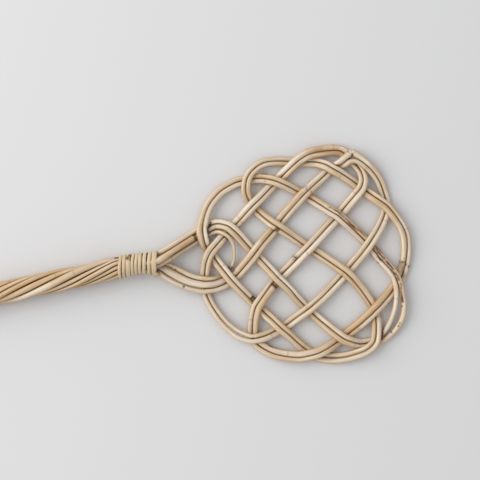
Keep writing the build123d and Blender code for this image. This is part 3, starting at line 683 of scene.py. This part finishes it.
def settle_lines():
    """Settles the line of every cane, once: the painted shade in the creases is drawn from the neighbours'
    lines.
    """
    if LINES:
        return
    pair = Pair()
    canes = pair_canes(pair, "left", 1, LEFT_SPLICES_PX, "lower_left", "upper_left")
    canes.update(pair_canes(pair, "right", -1, RIGHT_SPLICES_PX, "lower_right", "upper_right"))
    canes["cane_inner_loop"] = loop_points(pair)
    fillers = {slot: tail(slot) for slot in ("filler_1", "filler_2", "filler_3", "stub")}
    fillers["filler_1"] += [Vector((*place(x, y), high * MM)) for x, y, high in LONG_FILLER_PX]
    fillers["stub"][-2:] = [in_bundle(*(value * MM for value in bend)) for bend in STUB_END]
    for number, (slot, points) in enumerate(fillers.items(), start=1):
        canes[f"filler_cane_{number}"] = [(point, BUNDLE[slot][1] * MM) for point in points]
    for name, bends in canes.items():
        settle_line(name, bends)
    centres = np.vstack([line for line, *_ in LINES.values()])
    headings = np.vstack([frames_along(line)[0] for line, *_ in LINES.values()])
    owners = np.concatenate([[name] * len(line) for name, (line, *_) in LINES.items()])
    radii = np.concatenate([radius for _, _, radius, _ in LINES.values()])
    tree = KDTree(len(centres))
    for i, point in enumerate(centres):
        tree.insert(point, i)
    tree.balance()
    NEIGHBOURS.extend((tree, centres, headings, owners, radii))


def crease_of(name, vertices, line):
    """How near each vertex is to another cane's skin, for painted shade and dust: 1 where they touch, 0 from
    the gap on.
    """
    tree, centres, headings, owners, radii = NEIGHBOURS
    found = np.ones(len(vertices))
    rings = vertices.reshape(len(line), -1, 3)
    for i, centre in enumerate(line):
        near = [j for _, j, _ in tree.find_range(centre, SEARCH_REACH) if owners[j] != name]
        if near:
            away = rings[i][:, None] - centres[near][None]
            run = np.einsum("vnk,nk->vn", away, headings[near])
            across = away - np.clip(run, -MM, MM)[..., None] * headings[near][None]
            gaps = np.linalg.norm(across, axis=2) - radii[near][None]
            found[i * SIDES:(i + 1) * SIDES] = gaps.min(axis=1)
    return np.clip(1 - found / SHADE_AND_DUST_GAP, 0, 1)


def lines_on(vertices, table):
    """How strongly a table of lines shows at each vertex."""
    found = np.zeros(len(vertices))
    for x0, y0, x1, y1, half_width, strength in table:
        start, end = np.array(place(x0, y0)), np.array(place(x1, y1))
        ahead = end - start
        share = np.clip((vertices[:, :2] - start) @ ahead / ahead.dot(ahead), 0, 1)
        away = np.linalg.norm(vertices[:, :2] - start - share[:, None] * ahead, axis=1)
        found = np.maximum(found, strength * np.clip(1.6 - away / (half_width * MM), 0, 1))
    return found


def marks_on(vertices, table, core):
    """How strongly a table of round marks shows at each vertex: fully inside the core's share of each."""
    found = np.zeros(len(vertices))
    for x, y, reach in table:
        x, y = place(x, y)
        away = np.hypot(vertices[:, 0] - x, vertices[:, 1] - y)
        found = np.maximum(found, np.clip(1 - (away / (reach * MM) - core) / (1 - core), 0, 1))
    return found


def share_of_handle(vertices, start, run):
    """1 in the handle and 0 in the head: it starts past the neck and grows over a run, in millimetres."""
    return np.clip((NECK_X + start * MM - vertices[:, 0]) / (run * MM), 0, 1)


# Pieces
def new_mesh(name, vertices, faces, **values):
    """A mesh that keeps the values given for its vertices, one number or three for each."""
    mesh = bpy.data.meshes.new(name)
    mesh.from_pydata(vertices.tolist(), [], faces)
    for key, value in values.items():
        value = np.asarray(value, np.float32)
        kind, field = ("FLOAT_VECTOR", "vector") if value.ndim > 1 else ("FLOAT", "value")
        mesh.attributes.new(key, kind, "POINT").data.foreach_set(field, value.ravel())
    mesh.validate()
    return mesh


def add_piece(name, mesh, paints):
    """A mesh as an object with its materials, one for each paint."""
    piece = bpy.data.objects.new(name, mesh)
    bpy.context.scene.collection.objects.link(piece)
    for paint in paints:
        mesh.materials.append(material(paint))
    return piece


def turn_outward(piece):
    """Turns a closed piece's faces outward."""
    bpy.ops.object.select_all(action="DESELECT")
    bpy.context.view_layer.objects.active = piece
    piece.select_set(True)
    bpy.ops.object.mode_set(mode="EDIT")
    bpy.ops.mesh.select_all(action="SELECT")
    bpy.ops.mesh.normals_make_consistent(inside=False)
    bpy.ops.object.mode_set(mode="OBJECT")
    piece.select_set(False)


def cut_ends(line, vertices):
    """A cane's cut ends: their vertices, and the faces of their bevelled rims and of the cuts."""
    ahead = frames_along(line)[0]
    extra, rims, cuts = [], [], []
    for end, rim, direction in ((0, 0, -1), (-1, len(vertices) - SIDES, 1)):
        inner = len(vertices) + len(extra)
        middle = inner + SIDES
        for corner in vertices[rim:rim + SIDES]:
            bevelled = line[end] + (corner - line[end]) * CUT_WIDTH
            extra.append(bevelled + ahead[end] * direction * CUT_RIM * MM)
        extra.append(line[end] + ahead[end] * direction * CUT_MIDDLE * MM)
        for k, n in AROUND:
            if direction > 0:
                rims.append((rim + n, inner + n, inner + k, rim + k))
                cuts.append((inner + n, middle, inner + k))
            else:
                rims.append((inner + k, inner + n, rim + n, rim + k))
                cuts.append((middle, inner + n, inner + k))
    return extra, rims, cuts


def build_cane(name):
    """A round cane along its line, as a mesh of its own: its thickness changes along the way, its ends are
    cut flat and its stains and painted shade follow it, which a bevelled curve and its modifiers don't give."""
    line, at, radius, seed = LINES[name]
    _, sides, ups = frames_along(line)
    joint, scar = np.zeros(len(at)), np.zeros(len(at))
    for ring in growth_rings(at[-1], seed):
        joint = np.maximum(joint, bell(at, ring, JOINT_REACH))
    for x, y, reach in SCARS_PX:
        near, away = nearest(line, x, y)
        if away < SCAR_OFF:
            scar = np.maximum(scar, bell(at, at[near], reach))
    turn = np.linspace(0, 2 * math.pi, SIDES, endpoint=False)
    oval = 1 + OVAL * np.cos(2 * turn[None] + 3 * waves(at, seed + 3, OVAL_RUN)[:, None])
    reach = (radius * (1 + JOINT_SWELL * joint + SCAR_SWELL * scar))[:, None] * oval
    across = np.cos(turn)[None, :, None] * sides[:, None] + np.sin(turn)[None, :, None] * ups[:, None]
    vertices = (line[:, None] + across * reach[..., None]).reshape(-1, 3)
    faces = [(i + n, i + SIDES + n, i + SIDES + k, i + k)
             for i in range(0, len(vertices) - SIDES, SIDES) for k, n in AROUND]
    # Painted shade with dust in the creases, stronger in the handle
    crease = crease_of(name, vertices, line)
    crease *= (1 - marks_on(vertices, UNSHADED_PX, 0.7)) * (1 + 0.4 * share_of_handle(vertices, 4, 8))
    extra, rims, cuts = cut_ends(line, vertices)
    vertices = np.vstack([vertices, np.array(extra)])

    def filled(values, at_ends=0.0):
        """Values for the skin's vertices, or for its rings, with one for all vertices of the ends."""
        values = np.repeat(values, SIDES) if len(values) == len(at) else values
        return np.r_[values, np.full(len(extra), at_ends)]
    grain = np.stack([filled(at), filled((np.cos(turn)[None] * radius[:, None]).ravel()),
                      filled((np.sin(turn)[None] * radius[:, None]).ravel())], axis=1)
    mesh = new_mesh(
        name, vertices, faces + rims + cuts,
        grain=grain + np.array([0, seed % 97, seed % 89]) * 0.1,
        # Painted shade and dust in the creases, and some on the cut ends
        crease=filled(crease, 0.3),
        joint=filled(joint),
        # How far the skin faces up, for the painted shade on the flanks
        worn=filled(across[..., 2].ravel()),
        skin=lines_on(vertices, SKIN_PX),
        scar=filled(scar),
        warm=lines_on(vertices, WARM_PX),
        pale=lines_on(vertices, PALE_AND_HIGHLIGHT_PX),
        # Dark spots, partly stains and partly painted shade, with the painted shade in open seams
        spot=np.maximum(marks_on(vertices, SPOTS_PX, 0.3), lines_on(vertices, SEAM_SHADE_PX)),
        tone=(seed * 37 % 100) / 100 + 0.65 * share_of_handle(vertices, 40, 40))
    piece = add_piece(name + "_look", mesh, (rattan_core_sanded, rattan_end_grain))
    for polygon in mesh.polygons:
        polygon.use_smooth = len(polygon.vertices) == 4
        polygon.material_index = 0 if len(polygon.vertices) == 4 else 1
    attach(piece, "root")
    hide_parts(name)


def build_binding(name, turns, shape, slant, origin):
    """Flat peel wound round the bundle: each turn has its own width and place on the upper side."""
    thick = sizes().peel_thickness
    centres = [(a + b) / 2 for a, b in turns]
    widths = [(b - a + PEEL_SPARE) * MM for a, b in turns]
    steps = len(turns) * PEEL_STEPS
    profile = np.linspace(-1, 1, 9)
    stations, halves, shifts = zip(*shape)
    rng = np.random.default_rng(len(name))
    sways = list(zip(rng.uniform(0.6, 3.4, 4), rng.uniform(0, 6, 4)))
    vertices, grain, creases = [], [], []
    for i in range(steps + 1):
        share = i / PEEL_STEPS
        turn = 2 * math.pi * share
        # The top of a turn is at its half: it runs straight there and moves on underneath
        number = round(share - 0.5)
        past = share - 0.5 - number
        moved = max(0, abs(past) - STRAIGHT) / (1 - 2 * STRAIGHT)
        place_in_turns = number + math.copysign(moved, past)
        station = np.interp(place_in_turns, range(len(turns)), centres)
        width = np.interp(place_in_turns, range(len(turns)), widths)
        half = np.interp(station, stations, halves) * MM
        shift = np.interp(station, stations, shifts) * MM
        uneven = sum(PEEL_WANDER * MM * math.sin(turn * rate + phase) for rate, phase in sways)
        # Both ends of the peel dive under the turns beside them
        tuck = min(1, i / (PEEL_STEPS * TUCK_RUN), (steps - i) / (PEEL_STEPS * TUCK_RUN))
        angle = -math.pi / 2 - turn
        for side, spots in ((0, profile), (1, profile[::-1])):
            for p in spots:
                depth = PEEL_INSIDE if side else PEEL_ROUND * p * p + (1 - tuck) * TUCK_DEPTH
                out = half - thick * depth
                across = out * math.cos(angle) + shift
                above = max(out * math.sin(angle), (0.05 + 0.1 * side) * MM - AXIS_HEIGHT)
                along = station * MM + p * width / 2 + slant * across + uneven
                vertices.append(origin(along, across, above))
                grain.append((turn * half, p * width / 2, 0.0))
                # Painted shade on the peel's inside and at the edges of each turn
                creases.append(1.0 if side else max(0.0, (abs(p) - 0.75) / 0.25))
    ring = 2 * len(profile)
    last = steps * ring
    vertices = np.array([tuple(v) for v in vertices])
    faces = [(i + k, i + n, i + ring + n, i + ring + k)
             for i in range(0, last, ring) for k, n in [(k, (k + 1) % ring) for k in range(ring)]]
    faces += [tuple(range(ring))[::-1], tuple(range(last, last + ring))]
    mesh = new_mesh(name, vertices, faces, grain=grain, crease=creases,
                    spot=marks_on(vertices, SPOTS_PX, 0.3))
    piece = add_piece(name + "_look", mesh, (cane_peel_split,))
    mesh.shade_smooth()
    turn_outward(piece)
    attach(piece, "root")
    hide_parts(name)


def build_fibre():
    """A loose fibre of the peel that hangs out under the neck binding."""
    mesh = spline_mesh([(*place(x, y), z * MM) for x, y, z in LOOSE_FIBRE_PX], 0.18 * MM)
    piece = add_piece("loose_fibre", mesh, (cane_peel_split,))
    turn_outward(piece)
    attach(piece, "root")


# Materials
class Look:
    """A material in the making: its colour is laid on coat by coat."""

    def __init__(self, name):
        self.material = bpy.data.materials.new(name)
        self.material.use_nodes = True
        self.tree = self.material.node_tree
        self.shader = self.tree.nodes["Principled BSDF"]
        self.colour = None

    def fill(self, node, inputs):
        """Gives a node's inputs their numbers, or links them to other nodes' outputs."""
        for socket, value in inputs.items():
            if isinstance(value, bpy.types.NodeSocket):
                self.tree.links.new(value, node.inputs[socket])
            else:
                node.inputs[socket].default_value = value

    def node(self, kind, inputs, **settings):
        """The outputs of a new node."""
        node = self.tree.nodes.new("ShaderNode" + kind)
        for key, value in settings.items():
            setattr(node, key, value)
        self.fill(node, inputs)
        return node.outputs

    def ranged(self, value, low, high, to_low=0.0, to_high=1.0):
        return self.node("MapRange", {"Value": value, "From Min": low, "From Max": high,
                                      "To Min": to_low, "To Max": to_high})["Result"]

    def mark(self, name, *limits):
        """A value that the mesh keeps for its vertices, as it is or ranged."""
        value = self.node("Attribute", {}, attribute_name=name)["Fac"]
        return self.ranged(value, *limits) if limits else value

    def both(self, first, second, operation="MULTIPLY"):
        return self.node("Math", {0: first, 1: second}, operation=operation)[0]

    def noise(self, length_mm, width_mm, detail=3.0, roughness=0.6, source=None):
        """Noise drawn out along the cane: its size along and across, in millimetres."""
        source = source or self.node("Attribute", {}, attribute_name="grain")["Vector"]
        scale = (1000 / length_mm, 1000 / width_mm, 1000 / width_mm)
        scaled = self.node("VectorMath", {0: source, 1: scale}, operation="MULTIPLY")[0]
        return self.node("TexNoise", {"Vector": scaled, "Scale": 1.0, "Detail": detail,
                                      "Roughness": roughness})["Fac"]

    def mix(self, share, below, above):
        """The colour above laid over the one below by a share: hex colours or outputs."""
        below, above = [linear(value) if isinstance(value, str) else value for value in (below, above)]
        return self.node("Mix", {0: share, 6: below, 7: above}, data_type="RGBA")[2]

    def coat(self, share, colour):
        self.colour = self.mix(share, self.colour, colour)

    def finish(self, roughness, height, strength, depth):
        """Joins the colour, the roughness and a bump of the given strength and depth to the shader."""
        bump = self.node("Bump", {"Height": height, "Strength": strength, "Distance": depth})
        self.fill(self.shader, {"Base Color": self.colour, "Roughness": roughness, "Normal": bump[0]})


def material(paint):
    """The material that has the paint's name, painted once."""
    found = bpy.data.materials.get(paint.__name__)
    if not found:
        look = Look(paint.__name__)
        paint(look)
        found = look.material
    return found


def rattan_core_sanded(look):
    """Rattan core, drawn through a die and sanded: pale, matt, with long fibres, tan patches, painted shade
    with dust in the creases, painted shade on the flanks, a few painted highlights, a scar at each joint of
    the vine and a few rests of its red-brown skin."""
    colour = colours()
    patches = look.ranged(look.noise(60, 9, 2), 0.35, 0.68)
    toned = look.both(patches, look.mark("tone"), "ADD")
    look.colour = look.mix(look.ranged(toned, 0.15, 1.7, 0.05, 0.8), colour.pale, colour.tan)
    look.coat(look.mark("warm", 0, 1.6, 0, 0.8), "C99C62")
    # Paler lengths: sanded or rubbed, and some painted highlights
    look.coat(look.mark("pale", 0, 1, 0, 0.7), "EFE5D6")
    # Fibres are about 0.2 mm wide on the real cane, and 0.8 mm here, so that they show
    fibres = look.noise(22, 0.8, 4)
    look.coat(look.ranged(fibres, 0.42, 0.75, 0, 0.55), "A97E4B")
    look.coat(look.ranged(fibres, 0.5, 0.25, 0, 0.45), "F1E6D0")
    # Hands and floors rub the top pale, and the flanks keep the brown of age
    # Painted shade: the flanks, which face sideways and down, are painted browner than the top, which faces
    # up
    look.coat(look.mark("worn", 0.9, 0.15, 0, 0.8), "B4843F")
    # Skin that the sanding left, torn into rags and darker in places
    ragged = look.ranged(look.noise(7, 0.9, 4), 0.38, 0.50)
    dark_skin = look.mix(look.ranged(look.noise(6, 1.0), 0.4, 0.52), colour.skin, "4B2A17")
    look.coat(look.both(look.mark("skin"), ragged), dark_skin)
    # Brown flecks, the vine's joints, the scars on them, and the spots, which are partly stains and partly
    # painted shade, with the painted shade of the open seams
    look.coat(look.ranged(look.noise(5, 1.3, 2), 0.70, 0.78, 0, 0.55), "8A5A30")
    look.coat(look.mark("joint", 0.35, 1, 0, 0.38), "94683A")
    rough = look.ranged(look.noise(1.6, 1.6), 0.42, 0.52)
    look.coat(look.both(look.mark("scar"), rough), "38261A")
    look.coat(look.mark("spot", 0, 0.8, 0, 0.9), "3C2818")
    # Creases: painted shade with dust, first a brown edge, then a dark that is thicker in some places
    look.coat(look.mark("crease", 0.2, 0.55, 0, 0.5), "9A6F40")
    patchy = look.ranged(look.noise(45, 12, 2), 0.35, 0.6, 0.5, 1)
    look.coat(look.both(patchy, look.mark("crease", 0.5, 0.9)), colour.crease)
    look.finish(look.ranged(fibres, 0.3, 0.7, 0.42, 0.62), fibres, 0.25, 0.3 * MM)


def rattan_end_grain(look):
    """Cut end of a rattan cane: open pores, dry and browner than the sides."""
    coords = look.node("TexCoord", {})["Object"]
    pores = look.node("TexVoronoi", {"Vector": coords, "Scale": 1000 / 0.7})["Distance"]
    look.colour = look.mix(look.ranged(pores, 0.1, 0.6), "9C7A50", "DCC6A0")
    look.finish(0.85, pores, 0.5, 0.2 * MM)


def cane_peel_split(look):
    """Cane peel, split from the vine's outside: smooth and a little glossy, with straight fine fibres."""
    patches = look.ranged(look.noise(30, 4, 2), 0.35, 0.7, 0, 0.55)
    look.colour = look.mix(patches, colours().peel, "D3B27D")
    fibres = look.noise(18, 0.7)
    look.coat(look.ranged(fibres, 0.45, 0.75, 0, 0.4), "B08A57")
    # Dark spots, partly stains and partly painted shade
    look.coat(look.mark("spot", 0, 0.8, 0, 0.9), "5A3A1E")
    # Painted shade on the peel's inside and at the edges of its turns
    look.coat(look.mark("crease", 0.2, 1, 0, 0.8), "6E4C28")
    look.finish(look.ranged(fibres, 0.3, 0.7, 0.34, 0.5), fibres, 0.2, 0.2 * MM)


def core_rod_wood(look):
    """Split wooden rod inside the handle, hardly seen: brown, dusty and rough."""
    grain = look.noise(40, 1.5, 4, 0.5, look.node("TexCoord", {})["Object"])
    look.colour = look.mix(look.ranged(grain, 0.3, 0.7), "4A3320", "7A5A38")
    look.finish(0.8, grain, 0.3, 0.3 * MM)


def painted_floor(look):
    """Matt floor paint, so that the floor takes the shadow and shows no light of its own."""
    look.fill(look.shader, {"Base Color": linear(colours().floor), "Roughness": 0.9,
                            "Specular IOR Level": 0.1})


# Operators
def build_canes(word):
    """Builds the canes that have the word in their names."""
    settle_lines()
    for name in LINES:
        if word in name:
            build_cane(name)


class BEATER_OT_weave(bpy.types.Operator):
    """Weaves the knot from the two canes of the pair, each spliced from four lengths"""
    bl_idname = "beater.weave"
    bl_label = "Woven pair"

    def execute(self, context):
        build_canes("cane_left")
        build_canes("cane_right")
        return {"FINISHED"}


class BEATER_OT_loop(bpy.types.Operator):
    """Adds the small inner loop of fine cane"""
    bl_idname = "beater.loop"
    bl_label = "Inner loop"

    def execute(self, context):
        build_canes("inner_loop")
        return {"FINISHED"}


class BEATER_OT_fillers(bpy.types.Operator):
    """Adds the canes that only fill the handle and its neck"""
    bl_idname = "beater.fillers"
    bl_label = "Filler canes"

    def execute(self, context):
        build_canes("filler")
        return {"FINISHED"}


class BEATER_OT_bindings(bpy.types.Operator):
    """Winds the flat peel round the neck and round the handle's end"""
    bl_idname = "beater.bindings"
    bl_label = "Bindings"

    def execute(self, context):
        build_binding("neck_binding", NECK_TURNS, NECK_SHAPE, 0.15, in_bundle)
        low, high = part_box("end_binding")
        span = (high.x - low.x) / MM
        turns = [(span * i / END_TURNS, span * (i + 1) / END_TURNS - END_GAP) for i in range(END_TURNS)]

        def by_the_butt(along, across, above):
            return Vector((low.x + along, AXIS_Y + across, AXIS_HEIGHT + above))
        build_binding("end_binding", turns, [(0, END_HALF, 0), (span, END_HALF, 0)], 0, by_the_butt)
        build_fibre()
        return {"FINISHED"}


class BEATER_OT_core(bpy.types.Operator):
    """Gives the rod inside the handle its wood"""
    bl_idname = "beater.core"
    bl_label = "Core rod"

    def execute(self, context):
        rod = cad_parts["core_stick"]
        rod.data.materials.clear()
        rod.data.materials.append(material(core_rod_wood))
        return {"FINISHED"}


class BEATER_OT_stage(bpy.types.Operator):
    """Sets the floor, the light and the camera"""
    bl_idname = "beater.stage"
    bl_label = "Stage"

    def execute(self, context):
        scene = context.scene
        bpy.ops.object.select_all(action="DESELECT")
        bpy.ops.mesh.primitive_plane_add(size=12, location=(0, 0, 0))
        floor = context.object
        floor.name = "floor"
        floor.data.materials.append(material(painted_floor))
        scene.world = bpy.data.worlds.new("studio")
        scene.world.use_nodes = True
        room = scene.world.node_tree.nodes["Background"].inputs
        room["Color"].default_value = ROOM_COLOUR
        room["Strength"].default_value = ROOM_STRENGTH
        middle = place(VIEW_PX / 2, VIEW_PX / 2)
        away = Matrix.Rotation(-HANDLE_TILT, 3, "Z") @ Vector(KEY_FROM)
        light = bpy.data.lights.new("key", "AREA")
        light.size, light.energy, light.color = KEY_SIZE, KEY_POWER, KEY_COLOUR
        lamp = bpy.data.objects.new("key", light)
        lamp.location = Vector((*middle, 0)) + away
        lamp.rotation_euler = (-away).to_track_quat("-Z", "Y").to_euler()
        scene.collection.objects.link(lamp)
        camera = bpy.data.cameras.new("camera")
        camera.lens, camera.sensor_width = LENS, SENSOR
        eye = bpy.data.objects.new("camera", camera)
        weave = sizes().cane / 2 + sizes().rise
        eye.location = (*middle, weave + VIEW_PX * MM * LENS / SENSOR)
        eye.rotation_euler = (0, 0, -HANDLE_TILT)
        scene.collection.objects.link(eye)
        scene.camera = eye
        scene.view_settings.view_transform = "Standard"
        return {"FINISHED"}


OPERATORS = (
    BEATER_OT_weave, BEATER_OT_loop, BEATER_OT_fillers, BEATER_OT_bindings, BEATER_OT_core, BEATER_OT_stage,
)


class BEATER_PT_panel(bpy.types.Panel):
    bl_label = "Carpet beater"
    bl_idname = "BEATER_PT_panel"
    bl_space_type = "VIEW_3D"
    bl_region_type = "UI"
    bl_category = "Beater"

    def draw(self, context):
        for operator in OPERATORS:
            self.layout.operator(operator.bl_idname)
        for group in (context.scene.beater_sizes, context.scene.beater_colours):
            for key in group.bl_rna.properties.keys():
                if key not in ("rna_type", "name"):
                    self.layout.prop(group, key)


CLASSES = (BeaterSizes, BeaterColours, *OPERATORS, BEATER_PT_panel)


def register():
    for cls in CLASSES:
        bpy.utils.register_class(cls)
    bpy.types.Scene.beater_sizes = bpy.props.PointerProperty(type=BeaterSizes)
    bpy.types.Scene.beater_colours = bpy.props.PointerProperty(type=BeaterColours)


def unregister():
    del bpy.types.Scene.beater_colours
    del bpy.types.Scene.beater_sizes
    for cls in reversed(CLASSES):
        bpy.utils.unregister_class(cls)


def main():
    register()
    bpy.ops.beater.weave()
    bpy.ops.beater.loop()
    bpy.ops.beater.fillers()
    bpy.ops.beater.bindings()
    bpy.ops.beater.core()
    bpy.ops.beater.stage()
    bpy.context.view_layer.update()


if __name__ == "__main__":
    main()
